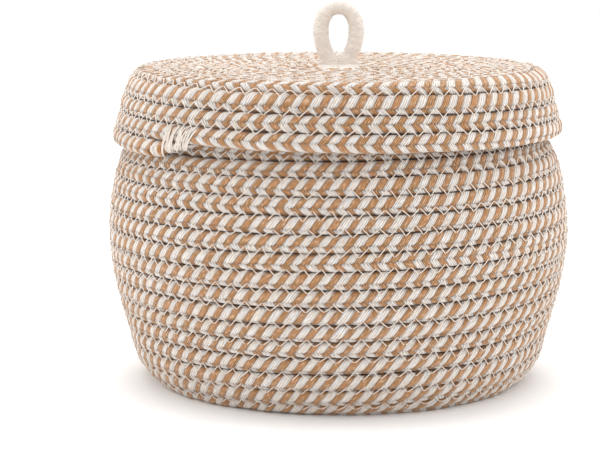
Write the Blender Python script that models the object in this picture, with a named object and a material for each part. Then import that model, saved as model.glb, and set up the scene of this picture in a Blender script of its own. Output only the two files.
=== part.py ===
"""Knitting basket coiled from braided cord, with a lift-off lid and a loop to lift it by.

One cord winds out from the middle of the base and on up the round wall to the rim. A second
cord winds out from the middle of the lid and down its skirt, and ends in a bound tip at the
front left. A thick cotton cord makes the loop on the lid and is knotted under it.

All sizes are in metres, +Z is up, and the origin is on the floor under the middle of the base.
"""
import math
from collections import namedtuple

import bmesh
import bpy
import numpy as np
from mathutils import Matrix, Vector
from mathutils.kdtree import KDTree

# The braided cord of the basket and the lid
turn_pitch = 0.0080             # from one turn to the next, the real cord's thickness
cord_corner_radius = 0.0042     # half of the six-sided cord, measured over its corners
cord_sides = 6
cord_side_gap = 0.0006          # between neighbouring turns, where the outline bends sharply
cord_slit = 0.0003              # between two ends of cord, where one goes on from the other
floor_cut_share = 0.1           # of the cord's width, cut flat where it lies on the floor
outer_turn_points = 20
inner_skip = 2                  # the coarse turns have each second of these points

# The basket, sized on the centre line of its cord
belly_diameter = 0.2200         # over the outside of the widest turn
rim_height = 0.1365             # of the last turn
base_start_radius = 0.0052      # of the cord's first end, in the middle of the base
base_coarse_turns = 10          # counted from the middle
rim_end_angle = math.radians(36)

# The wall from the base to the rim: radius as a share of the belly's, height of the rim's
base_radius_share = 0.803
wall_outline_shares = (
    (0.862, 0.068),
    (0.926, 0.212),
    (0.977, 0.366),
    (1.000, 0.530),
    (0.984, 0.662),
    (0.943, 0.785),
    (0.893, 0.847),
    (0.867, 0.915),
    (0.836, 1.000),
)

# The lid, sized on the centre line of its cord
lid_seat_gap = 0.0003           # between the rim's last turn and the lid
skirt_clearance = 0.0018        # between the basket's neck and the skirt's lowest turn
skirt_depth = 0.0284            # from the flat top down to the cord's end
lid_start_radius = 0.0136       # of the cord's first end, beside the loop's tails
lid_coarse_turns = 5            # counted from the middle
skirt_end_angle = math.radians(216)
skirt_neck_share = 0.860        # of the rim's height, the level of the neck in the skirt's mouth

# The skirt from the flat top down: radius as a share of its mouth's, drop of its depth
lid_flat_share = 0.864
skirt_outline_shares = (
    (0.908, 0.020),
    (0.936, 0.180),
    (0.950, 0.335),
    (0.970, 0.610),
    (1.000, 1.000),
)

# The bound tip of the lid's cord
tip_length = 0.0050
tip_rings = 5
tip_sides = 12

# The loop, of round cotton cord
loop_cord_radius = 0.0038
loop_height = 0.0310            # from the lid's top to the top of the loop
loop_foot_spacing = 0.0108      # between the middles of its legs
loop_bend_height = 0.0042       # from the lid's top to where the loop bends over
loop_side_reach = 0.0092        # lower handle of the loop's curve, out from the middle
loop_shoulder_reach = 0.0130    # its upper handle
loop_side_share = 0.38          # of the loop's height, its lower handle
loop_points = 17
loop_foot_rings = 4
loop_foot_gap = 0.0003          # between the loop's round feet and its tails

# The knot that holds the loop's tails under the lid
knot_gap = 0.0003               # between the knot and the turn that it bears on
knot_width = 0.0300
knot_depth = 0.0260
knot_height = 0.0150
knot_rings = 12
knot_sides = 20
tail_sides = 12

overrun = 0.0050                # of a cutter past the piece that it cuts
outline_steps = 12
gap_samples = 4                 # between two neighbouring rings of points
weld_distance = 0.000001
full_turn = 2 * math.pi
half_side = full_turn / cord_sides / 2

belly_radius = belly_diameter / 2 - cord_corner_radius
base_height = cord_corner_radius * (1 - 2 * floor_cut_share)
lid_height = rim_height + 2 * cord_corner_radius + lid_seat_gap
lid_top = lid_height + cord_corner_radius

Ring = namedtuple("Ring", "place lean radius")


def clear_scene():
    """Removes every object that the scene starts with."""
    for item in list(bpy.data.objects):
        bpy.data.objects.remove(item, do_unlink=True)


def make_material(name, colour, roughness):
    """A plain material in the piece's colour."""
    material = bpy.data.materials.new(name)
    material.use_nodes = True
    shader = material.node_tree.nodes["Principled BSDF"]
    shader.inputs["Base Color"].default_value = (*colour, 1.0)
    shader.inputs["Roughness"].default_value = roughness
    shader.inputs["Metallic"].default_value = 0.0
    material.diffuse_color = (*colour, 1.0)
    return material


def link(name, data, parent=None):
    """Puts a new object with this curve or mesh into the scene."""
    item = bpy.data.objects.new(name, data)
    bpy.context.scene.collection.objects.link(item)
    item.parent = parent
    return item


def smooth_line(stations):
    """Closely spaced points of a smooth line through stations of radius and height."""
    knots = np.array(stations)
    steps = np.linalg.norm(np.diff(knots, axis=0), axis=1)
    along = np.concatenate(([0.0], np.cumsum(steps)))
    slopes = np.gradient(knots, along, axis=0)
    points = [knots[0]]
    for index, step in enumerate(steps):
        for count in range(1, outline_steps + 1):
            t = count / outline_steps
            start = (1 + 2 * t) * knots[index] + t * step * slopes[index]
            end = (3 - 2 * t) * knots[index + 1] - (1 - t) * step * slopes[index + 1]
            points.append((1 - t) ** 2 * start + t ** 2 * end)
    return np.array(points)


def wall_outline():
    """The cord's centre line in section, from the middle of the base to the rim."""
    base_radius = belly_radius * base_radius_share
    stations = [(base_radius - turn_pitch, base_height), (base_radius, base_height)]
    for radius_share, height_share in wall_outline_shares:
        stations.append((belly_radius * radius_share, rim_height * height_share))
    return np.vstack(([(0.0, base_height)], smooth_line(stations)))


def skirt_outline(wall):
    """The cord's centre line in section, from the middle of the lid to the skirt's mouth."""
    neck = np.interp(rim_height * skirt_neck_share, wall[:, 1], wall[:, 0])
    mouth = neck + turn_pitch + skirt_clearance
    flat_radius = mouth * lid_flat_share
    stations = [(flat_radius - turn_pitch, lid_height), (flat_radius, lid_height)]
    for radius_share, drop_share in skirt_outline_shares:
        stations.append((mouth * radius_share, lid_height - skirt_depth * drop_share))
    return np.vstack(([(0.0, lid_height)], smooth_line(stations)))


class Winding:
    """A cord wound anticlockwise along an outline, one pitch of the outline in each turn.

    Its places are counted in steps, of which a whole turn has outer_turn_points.
    """

    def __init__(self, outline, end_angle):
        lengths = np.linalg.norm(np.diff(outline, axis=0), axis=1)
        self.outline = outline
        self.along = np.concatenate(([0.0], np.cumsum(lengths)))
        self.last_step = math.floor(self.step_at(self.along[-1]))
        self.first_angle = end_angle - full_turn * self.last_step / outer_turn_points

    def step_at(self, distance):
        """The step count at a distance along the outline."""
        return distance / turn_pitch * outer_turn_points

    def section(self, distance):
        """Radius and height of the outline at a distance along it."""
        radius = np.interp(distance, self.along, self.outline[:, 0])
        height = np.interp(distance, self.along, self.outline[:, 1])
        return Vector((radius, height))

    def point(self, step):
        """The middle of the cord at a step."""
        radius, height = self.section(step * turn_pitch / outer_turn_points)
        angle = self.first_angle + full_turn * step / outer_turn_points
        return Vector((radius * math.cos(angle), radius * math.sin(angle), height))

    def lean(self, step):
        """The outline's angle from level at a step, taken over half a pitch."""
        distance = step * turn_pitch / outer_turn_points
        half_span = turn_pitch / 4
        ahead = self.section(min(distance + half_span, self.along[-1]))
        span = ahead - self.section(distance - half_span)
        return math.atan2(span.y, span.x)

    def corner_radius(self, step):
        """The cord's size at a step, which is less where its corners would touch a neighbour."""
        radius = cord_corner_radius
        here = self.section(step * turn_pitch / outer_turn_points)
        for other in (step - outer_turn_points, step + outer_turn_points):
            if not 0 <= other <= self.last_step:
                continue
            bend = abs(self.lean(step) - self.lean(other))
            apart = (here - self.section(other * turn_pitch / outer_turn_points)).length
            width = (apart - cord_side_gap) / math.cos(max(0.0, half_side - bend / 2))
            radius = min(radius, width / 2)
        return radius

    def step_past(self, radius):
        """The first step outside a radius of the flat turns that the coarse turns have too."""
        return math.ceil(self.step_at(radius) / inner_skip) * inner_skip

    def stretch(self, first, last, coarse_turns):
        """The cord from one step to another, with fewer points in its coarse inner turns."""
        steps = [first]
        for step in range(first + 1, last):
            if step >= coarse_turns * outer_turn_points or step % inner_skip == 0:
                steps.append(step)
        steps.append(last)
        return [Ring(self.point(step), self.lean(step), self.corner_radius(step)) for step in steps]


def open_slit(rings, end, inner):
    """Ends a cord half way along its straight last run, less half of a slit."""
    run = rings[end].place - rings[inner].place
    place = rings[inner].place + run.normalized() * (run.length - cord_slit) / 2
    rings[end] = rings[end]._replace(place=place)


def make_cord(name, rings, material, parent):
    """An unbroken six-sided cord, with one of its corners facing out of the wall."""
    curve = bpy.data.curves.new(name, "CURVE")
    curve.dimensions = "3D"
    curve.twist_mode = "Z_UP"
    curve.bevel_depth = cord_corner_radius
    curve.bevel_resolution = 1
    curve.use_fill_caps = True
    spline = curve.splines.new("POLY")
    spline.points.add(len(rings) - 1)
    for knot, ring in zip(spline.points, rings):
        knot.co = (*ring.place, 1.0)
        knot.tilt = full_turn / 4 - ring.lean
        knot.radius = ring.radius / cord_corner_radius
    curve.materials.append(material)
    return link(name, curve, parent)


def as_mesh(item):
    """Turns a curve object into a mesh object with closed ends."""
    scene_view = bpy.context.evaluated_depsgraph_get()
    mesh = bpy.data.meshes.new_from_object(item.evaluated_get(scene_view))
    welded = bmesh.new()
    welded.from_mesh(mesh)
    bmesh.ops.remove_doubles(welded, verts=welded.verts, dist=weld_distance)
    bmesh.ops.recalc_face_normals(welded, faces=welded.faces)
    welded.to_mesh(mesh)
    welded.free()
    name, parent = item.name, item.parent
    bpy.data.objects.remove(item, do_unlink=True)
    return link(name, mesh, parent)


def cut_on_floor(item):
    """Cuts a piece flat at the floor, where the basket stands on it."""
    side = belly_diameter + overrun
    depth = cord_corner_radius + overrun
    box = bmesh.new()
    place = Matrix.Translation((0.0, 0.0, -depth / 2)) @ Matrix.Diagonal((side, side, depth, 1))
    bmesh.ops.create_cube(box, size=1.0, matrix=place)
    mesh = bpy.data.meshes.new("floor_cutter")
    box.to_mesh(mesh)
    box.free()
    cutter = link("floor_cutter", mesh)
    cutter.hide_render = True
    cutter.display_type = "WIRE"
    cut = item.modifiers.new("flat_on_floor", "BOOLEAN")
    cut.operation = "DIFFERENCE"
    cut.object = cutter


def ring_corners(ring):
    """The six corners of the cord at a ring."""
    out = Vector((ring.place.x, ring.place.y, 0.0)).normalized()
    corners = []
    for corner in range(cord_sides):
        angle = ring.lean + full_turn / 4 + full_turn * corner / cord_sides
        arm = out * math.cos(angle) + Vector((0.0, 0.0, math.sin(angle)))
        corners.append(ring.place + arm * ring.radius)
    return corners


def least_gap(rings):
    """The least gap from one turn of a cord to another, between points spread over its sides.

    Points that follow each other closely along the cord are not compared.
    """
    places = []
    for index, (ring, after) in enumerate(zip(rings, rings[1:])):
        pairs = list(zip(ring_corners(ring), ring_corners(after)))
        for sample in range(gap_samples):
            corners = [near.lerp(far, sample / gap_samples) for near, far in pairs]
            for corner, beside in zip(corners, corners[1:] + corners[:1]):
                places.append((index * gap_samples + sample, corner))
                places.append((index * gap_samples + sample, (corner + beside) / 2))
    tree = KDTree(len(places))
    for number, (_, place) in enumerate(places):
        tree.insert(place, number)
    tree.balance()
    quarter_turn = outer_turn_points * gap_samples // 4
    least = turn_pitch
    for sample, place in places:
        for _, number, distance in tree.find_range(place, least):
            if abs(places[number][0] - sample) > quarter_turn:
                least = min(least, distance)
    return least


def make_basket(material, parent):
    """The basket's cord: its flat base and its round wall."""
    winding = Winding(wall_outline(), rim_end_angle)
    first = winding.step_past(base_start_radius)
    split = first
    while winding.point(split).z < cord_corner_radius:
        split += 1
    rings = winding.stretch(first, split + 1, base_coarse_turns)
    open_slit(rings, -1, -2)
    cut_on_floor(as_mesh(make_cord("base_coil", rings, material, parent)))
    print("base_coil least gap", round(least_gap(rings), 5))
    rings = winding.stretch(split, winding.last_step, base_coarse_turns)
    open_slit(rings, 0, 1)
    make_cord("wall_coil", rings, material, parent)
    print("wall_coil least gap", round(least_gap(rings), 5))
    return winding


def make_lid(wall, material, parent):
    """The lid's cord: its flat top and its skirt."""
    winding = Winding(skirt_outline(wall), skirt_end_angle)
    first = winding.step_past(lid_start_radius)
    split = first
    while winding.point(split).z > lid_height - weld_distance:
        split += 1
    top_rings = winding.stretch(first, split + 1, lid_coarse_turns)
    open_slit(top_rings, -1, -2)
    make_cord("lid_top_coil", top_rings, material, parent)
    print("lid_top_coil least gap", round(least_gap(top_rings), 5))
    skirt_rings = winding.stretch(split, winding.last_step, lid_coarse_turns)
    open_slit(skirt_rings, 0, 1)
    make_cord("lid_skirt_coil", skirt_rings, material, parent)
    print("lid_skirt_coil least gap", round(least_gap(skirt_rings), 5))
    return top_rings, skirt_rings


def make_tip(skirt_rings, material, parent):
    """The bound, rounded tip that closes the end of the skirt's cord."""
    end = skirt_rings[-1].place
    forward = (end - skirt_rings[-2].place).normalized()
    shape = bmesh.new()
    rings = []
    for index in range(tip_rings + 1):
        turned = full_turn / 4 * index / tip_rings
        radius = cord_corner_radius * math.cos(half_side) * math.cos(turned)
        offset = cord_slit + tip_length * math.sin(turned)
        turning = forward.to_track_quat("Z", "Y").to_matrix().to_4x4()
        place = Matrix.Translation(end + forward * offset) @ turning
        if index == tip_rings:
            rings.append([shape.verts.new(place.translation)])
            continue
        ring = bmesh.ops.create_circle(shape, segments=tip_sides, radius=radius, matrix=place)
        rings.append(ring["verts"])
    shape.faces.new(rings[0])
    for near, far in zip(rings, rings[1:]):
        for side in range(tip_sides):
            corners = [near[side], near[(side + 1) % tip_sides], far[(side + 1) % len(far)]]
            if len(far) > 1:
                corners.append(far[side])
            shape.faces.new(corners)
    bmesh.ops.recalc_face_normals(shape, faces=shape.faces)
    mesh = bpy.data.meshes.new("lid_cord_tip")
    shape.to_mesh(mesh)
    shape.free()
    mesh.materials.append(material)
    mesh.shade_smooth()
    link("lid_cord_tip", mesh, parent)


def make_loop(material, parent):
    """The loop, from its rounded right foot over the top to its rounded left foot."""
    curve = bpy.data.curves.new("handle_loop", "CURVE")
    curve.dimensions = "3D"
    curve.bevel_depth = loop_cord_radius
    curve.bevel_resolution = 3
    curve.use_fill_caps = True
    rise = loop_height - loop_bend_height - loop_cord_radius
    foot = Vector((loop_foot_spacing / 2, 0.0, 0.0))
    side = Vector((loop_side_reach, 0.0, rise * loop_side_share))
    shoulder = Vector((loop_shoulder_reach, 0.0, rise))
    top = Vector((0.0, 0.0, rise))
    half = []
    for index in range(loop_foot_rings, 0, -1):
        turned = full_turn / 4 * (index - 1 / 4) / loop_foot_rings
        drop = Vector((0.0, 0.0, loop_cord_radius * math.sin(turned)))
        half.append((foot - drop, math.cos(turned)))
    half_points = loop_points // 2
    for index in range(half_points):
        t = index / half_points
        start = (1 - t) ** 3 * foot + 3 * t * (1 - t) ** 2 * side
        half.append((start + 3 * t ** 2 * (1 - t) * shoulder + t ** 3 * top, 1.0))
    route = half + [(top, 1.0)]
    for place, width in reversed(half):
        route.append((Vector((-place.x, 0.0, place.z)), width))
    spline = curve.splines.new("POLY")
    spline.points.add(len(route) - 1)
    for knot, (place, width) in zip(spline.points, route):
        knot.co = (*place, 1.0)
        knot.radius = width
    curve.materials.append(material)
    link("handle_loop", curve, parent)


def knot_seat(top_rings):
    """The height of the knot's middle where it bears on the first turns of the lid."""
    seat = lid_height
    for ring, after in zip(top_rings, top_rings[1:]):
        pairs = list(zip(ring_corners(ring), ring_corners(after)))
        for sample in range(gap_samples):
            corners = [near.lerp(far, sample / gap_samples) for near, far in pairs]
            for corner, beside in zip(corners, corners[1:] + corners[:1]):
                for place in (corner, (corner + beside) / 2):
                    across = Vector((place.x * 2 / knot_width, place.y * 2 / knot_depth))
                    if across.length < 1:
                        bulge = math.sqrt(1 - across.length_squared) * knot_height / 2
                        seat = min(seat, place.z - bulge - knot_gap)
    return seat


def make_knot(top_rings, material, parent):
    """The knot under the lid, with the loop's two tails standing up through the lid."""
    middle = Vector((0.0, 0.0, knot_seat(top_rings)))
    shape = bmesh.new()
    size = Matrix.Diagonal((knot_width / 2, knot_depth / 2, knot_height / 2, 1))
    place = Matrix.Translation(middle) @ size
    bmesh.ops.create_uvsphere(
        shape, u_segments=knot_sides, v_segments=knot_rings, radius=1.0, matrix=place
    )
    mesh = bpy.data.meshes.new("handle_knot")
    shape.to_mesh(mesh)
    shape.free()
    mesh.materials.append(material)
    knot = link("handle_knot", mesh, parent)
    tail_top = lid_top + loop_bend_height - loop_cord_radius - loop_foot_gap
    tail_length = tail_top - middle.z
    for name, side in (("tail_left", -1), ("tail_right", 1)):
        tail = bmesh.new()
        stand = Vector((side * loop_foot_spacing / 2, 0.0, middle.z + tail_length / 2))
        bmesh.ops.create_cone(
            tail, cap_ends=True, segments=tail_sides, radius1=loop_cord_radius,
            radius2=loop_cord_radius, depth=tail_length, matrix=Matrix.Translation(stand)
        )
        tail_mesh = bpy.data.meshes.new(name)
        tail.to_mesh(tail_mesh)
        tail.free()
        cutter = link(name, tail_mesh)
        cutter.hide_render = True
        cutter.display_type = "WIRE"
        joined = knot.modifiers.new(name, "BOOLEAN")
        joined.operation = "UNION"
        joined.object = cutter


def main():
    """Builds the basket, the lid and the loop."""
    clear_scene()
    cord_colour = make_material("braided_cord", (0.72, 0.58, 0.42), 0.9)
    cotton = make_material("cotton_cord", (0.90, 0.84, 0.76), 0.9)
    thread = make_material("binding_thread", (0.93, 0.88, 0.80), 0.85)

    basket = link("basket", None)
    winding = make_basket(cord_colour, basket)
    lid = link("lid", None)
    top_rings, skirt_rings = make_lid(winding.outline, cord_colour, lid)
    make_tip(skirt_rings, thread, lid)
    make_knot(top_rings, cotton, lid)
    bend = link("loop_bend", None, lid)
    bend.location = (0.0, 0.0, lid_top + loop_bend_height)
    make_loop(cotton, bend)


main()
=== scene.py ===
"""A knitting basket of coiled braided cord, with its sewing, its lid and its cotton loop.

The file is laid out as a Blender add-on. It is run as a script, which builds every piece over the
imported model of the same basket. All sizes are in metres.
"""
import math

import bmesh
import bpy
import numpy as np
from bpy.props import FloatProperty, FloatVectorProperty, PointerProperty
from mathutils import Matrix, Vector


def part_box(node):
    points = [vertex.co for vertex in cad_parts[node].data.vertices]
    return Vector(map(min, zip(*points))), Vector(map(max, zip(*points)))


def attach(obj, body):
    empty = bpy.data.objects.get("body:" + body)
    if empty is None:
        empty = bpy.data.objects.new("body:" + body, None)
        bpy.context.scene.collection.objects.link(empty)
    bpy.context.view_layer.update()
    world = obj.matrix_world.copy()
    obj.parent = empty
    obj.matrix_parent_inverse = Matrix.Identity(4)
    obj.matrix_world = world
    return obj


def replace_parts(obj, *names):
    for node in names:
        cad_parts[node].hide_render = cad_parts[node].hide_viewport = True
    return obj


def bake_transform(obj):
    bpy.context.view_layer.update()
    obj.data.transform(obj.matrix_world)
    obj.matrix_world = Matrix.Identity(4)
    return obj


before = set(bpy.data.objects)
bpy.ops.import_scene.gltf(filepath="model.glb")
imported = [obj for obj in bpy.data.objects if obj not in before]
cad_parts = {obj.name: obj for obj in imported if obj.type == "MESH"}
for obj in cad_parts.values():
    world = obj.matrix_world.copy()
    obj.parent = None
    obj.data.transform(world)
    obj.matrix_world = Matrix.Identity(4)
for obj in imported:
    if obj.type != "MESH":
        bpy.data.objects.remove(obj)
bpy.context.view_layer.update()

bl_info = {
    "name": "Coiled Cord Basket",
    "version": (1, 0, 0),
    "blender": (4, 5, 0),
    "location": "View3D > Sidebar > Basket",
    "description": "Builds a lidded basket of coiled and sewn braided cord",
    "category": "Add Mesh",
}

tau = 2 * math.pi
weld_distance = 0.000001

# The winding of the two cords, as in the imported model
turn_pitch = 0.0080
cord_corner_radius = 0.0042
floor_cut_share = 0.1
turn_points = 20
belly_diameter = 0.2200
rim_height = 0.1365
base_start_reach = 0.0056
rim_end_angle = math.radians(36)
base_radius_share = 0.803
wall_outline_shares = (
    (0.862, 0.068),
    (0.926, 0.212),
    (0.977, 0.366),
    (1.000, 0.530),
    (0.984, 0.662),
    (0.943, 0.785),
    (0.893, 0.847),
    (0.867, 0.915),
    (0.836, 1.000),
)
lid_seat_gap = 0.0003
skirt_clearance = 0.0018
skirt_depth = 0.0284
lid_start_reach = 0.0136
skirt_end_angle = math.radians(216)
lid_tip_cover = 0.0050
skirt_neck_share = 0.860
lid_flat_share = 0.864
skirt_outline_shares = (
    (0.908, 0.020),
    (0.936, 0.180),
    (0.950, 0.335),
    (0.970, 0.610),
    (1.000, 1.000),
)
outline_steps = 12
turn_samples = 200
belly_radius = belly_diameter / 2 - cord_corner_radius
base_height = cord_corner_radius * (1 - 2 * floor_cut_share)
lid_height = rim_height + 2 * cord_corner_radius + lid_seat_gap
lid_top = lid_height + cord_corner_radius

upright = np.array((0.0, 0.0, 1.0))
aside = np.array((0.0, 1.0, 0.0))

# What varies at random has a seed of its own
seeds = {
    "basket": 1, "lid": 2, "loop": 3, "knot": 4, "tail": 5, "lid_end": 6, "rim_end": 7,
    "base_heart": 8, "lid_heart": 9,
}

# The braid's corners around the cord, counted in columns from the middle of the outer one. The
# four columns lean by turns one way and the other, and a narrow strip lies between each two.
braid_corners = np.array((
    -0.48, -0.27, 0.00, 0.27, 0.48,
    0.52, 0.78, 1.10, 1.48,
    1.52, 2.00, 2.48,
    2.52, 2.90, 3.22, 3.48,
))
column_half = 0.48
corner_slack = 0.01
band_rings = 4
section_points = 721

# How a band rounds off towards its neighbours and its middle, how soon the painted shade begins
# where a turn gains a neighbour, in turns, and how far the lowest cord stays off the floor
valley_power = 3
edge_power = 2
flattening = 0.25
shade_onset = 0.02
floor_clearance = 0.00002

# How the hand of the braiding varies: shares of the wander for how far a band stands out and for
# how far the whole cord strays, and the lengths along the cord from one swell to the next
bulge_share = 1 / 3
wobble_share = 0.7
twist_swells = (0.31, 0.47, 0.83)
wobble_swells = (0.021, 0.034, 0.055)
swell_points = 4000

# The seam: the points of each stroke, how sharply a stitch dips where it goes in, and the lengths
# along the cord over which its size and its height vary
stroke_points = 6
dip_power = 6
reach_swells = (0.09, 0.15, 0.26)
drop_swells = (0.23, 0.39, 0.71)

# How far the zigzag's middle lies below the groove. The wall's and the lid's lie above it.
base_seam_drop = 0.0004
wall_seam_drop = -0.0004
lid_seam_drop = -0.0007

# The close stitches over a cord's end: where they turn back, in columns around the cord, and how
# much that and their place vary
stitch_turns = (-0.40, 1.15)
stitch_turn_wander = 0.25
stitch_place_wander = 0.0016
stitch_points = 8
stitch_swell_rate = 2.4

# The wound cords: the rings of points to each wrap, the points around them, the girth that the
# pattern is laid on, and how deep and how uneven the wraps are
wrap_rings = 4
wound_sides = 24
wound_girth = 0.024
wrap_depth_share = 0.17
wrap_wander = 0.25
lump_height = 0.00008
lump_swells = (0.0031, 0.0047, 0.0083)
strand_wrap = 0.0012

# The first end of each cord, bent back to fill the hole that its first turn leaves
base_heart_radii = (0.0038, 0.0031)
base_heart_bend = 0.0039
base_heart_lead = 0.0020
base_heart_tip = (0.0003, 0.0030)
lid_heart_radius = 0.01295
lid_heart_sweep = (-0.15, 5.2)
lid_heart_points = 100
lid_heart_hole = 0.0083
lid_heart_half_widths = (0.0010, 0.0041)
lid_heart_half_height = 0.0026
lid_heart_rise = 0.3

# The loop: where its legs leave the upright, how far they swing out, and how softly they bend
loop_points = 40
loop_bend_height = 0.0030
loop_bend_passes = 10
loop_side_reach = 0.0102
loop_side_share = 0.31
loop_shoulder_reach = 0.0108
loop_tail_drop = 0.0150

# Heights from the lid's top: where the loop's foot, the plug in the lid's hole and the tails
# under it begin to change, and over how much they do.
foot_change = (0.0025, 0.0035)
plug_change = (-0.0010, 0.0020)
tail_change = (-0.0070, 0.0040)

# The knot under the lid
knot_size = 0.0036
knot_depth_share = 0.85
knot_half_height = 0.0034
knot_middle = 0.0074
knot_points = 241
knot_slack = 0.0002

# The tail of the lid's cord: how thick it is at each length past the cord's last turn
tail_stations = (
    (0.0030, 0.0034),
    (0.0048, 0.0038),
    (0.0078, 0.0036),
    (0.0098, 0.0030),
    (0.0112, 0.0023),
    (0.0150, 0.0020),
    (0.0200, 0.0015),
    (0.0260, 0.0009),
    (0.0320, 0.0003),
)
tail_points = 90
tail_stand_out = 0.0002
tail_rise = 0.0038
tail_tan = (0.0082, 0.0124)

# The stitches over the ends: the stretch of cord that they cover, their number and their slant
lid_end_stretch = (0.0112, 0.0290)
lid_end_strokes = 38
lid_end_slant = 0.0050
rim_end_stretch = (0.0140, 0.0020)
rim_end_strokes = 26
rim_end_slant = 0.0020

# The photograph in pixels: its width, how far away its perspective puts the eye, and how far its
# middle is from the height on the basket's axis that is given next
image_width = 600
view_distance = 2100
view_shift = (-38, 7.5)
view_middle = 0.0651

# The width of the camera's sensor in millimetres, the height that the lamps point at, and half
# the floor's side
sensor_width = 36.0
lamp_target = 0.065
floor_reach = 6.0

# One wave of a Wave texture to each unit
one_wave = tau / 20

# The numbers of the sockets of a Mix node that mixes two colours
mix_share = 0
mix_first = 6
mix_second = 7
mixed = 2


def linear(hex_colour):
    """An sRGB hex colour as the linear colour that Blender's shaders take."""
    channels = [int(hex_colour[place:place + 2], 16) / 255 for place in (0, 2, 4)]
    return [c / 12.92 if c <= 0.04045 else ((c + 0.055) / 1.055) ** 2.4 for c in channels]


def colour_property(name, description, hex_colour):
    """A colour that a user may change."""
    return FloatVectorProperty(
        name=name, description=description, subtype="COLOR", size=3, min=0.0, max=1.0,
        default=linear(hex_colour),
    )


def length_property(name, description, metres):
    """A length that a user may change."""
    return FloatProperty(
        name=name, description=description, subtype="DISTANCE", unit="LENGTH", min=0.0,
        default=metres, precision=5,
    )


class CordSettings(bpy.types.PropertyGroup):
    """The braided cord of the basket and the lid."""

    thickness: length_property("Thickness", "From the outside to the inside of a wall", 0.0080)
    height: length_property("Height", "A little more than a turn, so that turns press together", 0.0082)
    squareness: FloatProperty(
        name="Squareness", description="2 for a round section, more for a squarer one", default=2.9,
    )
    pair: length_property("Pair", "A white and a tan band, along the cord", 0.0075)
    white_width: length_property("White width", "The white band of the two", 0.0041)
    band_valley: length_property("Valley", "Depth between two bands", 0.00040)
    crease: length_property("Crease", "Depth between two columns", 0.00035)
    lean: FloatProperty(
        name="Lean", description="How far a band runs along the cord for each length across it",
        default=0.68,
    )
    tuck: length_property("Tuck", "How far one column's bands are set off from the next's", 0.0012)
    twist: length_property("Twist", "How far up the outer column is turned", 0.0020)
    twist_wander: length_property("Twist wander", "How much that varies along the cord", 0.0010)
    wander: length_property("Wander", "How far a band strays from its even place", 0.00028)
    white: colour_property("White", "The braid's white yarn", "EDEAE8")
    tan: colour_property("Tan", "The braid's tan yarn", "CA9162")


class SeamSettings(bpy.types.PropertyGroup):
    """The zigzag seam that holds each turn to the next."""

    thread: length_property("Thread", "Thickness of the sewing thread", 0.00044)
    stitch: length_property("Stitch", "One stitch and back, along the cord", 0.0076)
    reach: length_property("Reach", "From the groove to where a stitch goes in", 0.0020)
    reach_wander: length_property("Reach wander", "How much that varies along the seam", 0.0003)
    drop_wander: length_property("Drop wander", "How far the zigzag strays up and down", 0.0006)
    steep: FloatProperty(
        name="Steep", description="Share of a stitch that the strokes down take",
        subtype="FACTOR", min=0.0, max=1.0, default=0.46,
    )
    level: length_property("Level", "From the cord's middle out to the thread", 0.0040)
    dip: length_property("Dip", "How deep a stitch goes in", 0.0009)
    stray: length_property("Stray", "How far a stitch strays from its even place", 0.0002)
    colour: colour_property("Colour", "The sewing thread", "F0E5DA")


class LoopSettings(bpy.types.PropertyGroup):
    """The cotton cord of the loop on the lid."""

    thickness: length_property("Thickness", "Of the loop's cord", 0.0076)
    foot: length_property("Foot", "How much the cord widens sideways at the lid", 0.0020)
    plug: length_property("Plug", "How much it widens to the front and back in the hole", 0.0052)
    height: length_property("Height", "From the lid to the top of the loop", 0.0318)
    spacing: length_property("Spacing", "Between the middles of the loop's feet", 0.0088)
    wrap: length_property("Wrap", "From one turn of the wound yarn to the next", 0.00075)
    colour: colour_property("Colour", "The loop's cotton", "F5ECE3")


class StageSettings(bpy.types.PropertyGroup):
    """The floor, the lamps and the camera."""

    distance: length_property("Distance", "From the camera to the basket's axis", 1.013)
    elevation: FloatProperty(
        name="Elevation", description="The camera's height as an angle", subtype="ANGLE",
        unit="ROTATION", default=math.radians(9.3),
    )
    key: FloatProperty(
        name="Key", description="Power of the lamp above", unit="POWER", default=11.0,
    )
    fill: FloatProperty(
        name="Fill", description="Power of each side lamp", unit="POWER", default=2.4,
    )
    front: FloatProperty(
        name="Front", description="Power of the front lamp", unit="POWER", default=0.8,
    )
    sky: FloatProperty(name="Sky", description="Strength of the white surroundings", default=1.0)


def smooth_line(stations):
    """Closely spaced points of a smooth line through stations of radius and height."""
    knots = np.array(stations)
    steps = np.linalg.norm(np.diff(knots, axis=0), axis=1)
    along = np.concatenate(([0.0], np.cumsum(steps)))
    slopes = np.gradient(knots, along, axis=0)
    points = [knots[0]]
    for index, step in enumerate(steps):
        for count in range(1, outline_steps + 1):
            t = count / outline_steps
            start = (1 + 2 * t) * knots[index] + t * step * slopes[index]
            end = (3 - 2 * t) * knots[index + 1] - (1 - t) * step * slopes[index + 1]
            points.append((1 - t) ** 2 * start + t ** 2 * end)
    return np.array(points)


def wall_outline():
    """The cord's centre line in section, from the middle of the base to the rim."""
    base_radius = belly_radius * base_radius_share
    stations = [(base_radius - turn_pitch, base_height), (base_radius, base_height)]
    for radius_share, height_share in wall_outline_shares:
        stations.append((belly_radius * radius_share, rim_height * height_share))
    return np.vstack(([(0.0, base_height)], smooth_line(stations)))


def skirt_outline(wall):
    """The cord's centre line in section, from the middle of the lid to the skirt's mouth."""
    neck = np.interp(rim_height * skirt_neck_share, wall[:, 1], wall[:, 0])
    mouth = neck + turn_pitch + skirt_clearance
    flat_radius = mouth * lid_flat_share
    stations = [(flat_radius - turn_pitch, lid_height), (flat_radius, lid_height)]
    for radius_share, drop_share in skirt_outline_shares:
        stations.append((mouth * radius_share, lid_height - skirt_depth * drop_share))
    return np.vstack(([(0.0, lid_height)], smooth_line(stations)))


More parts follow.
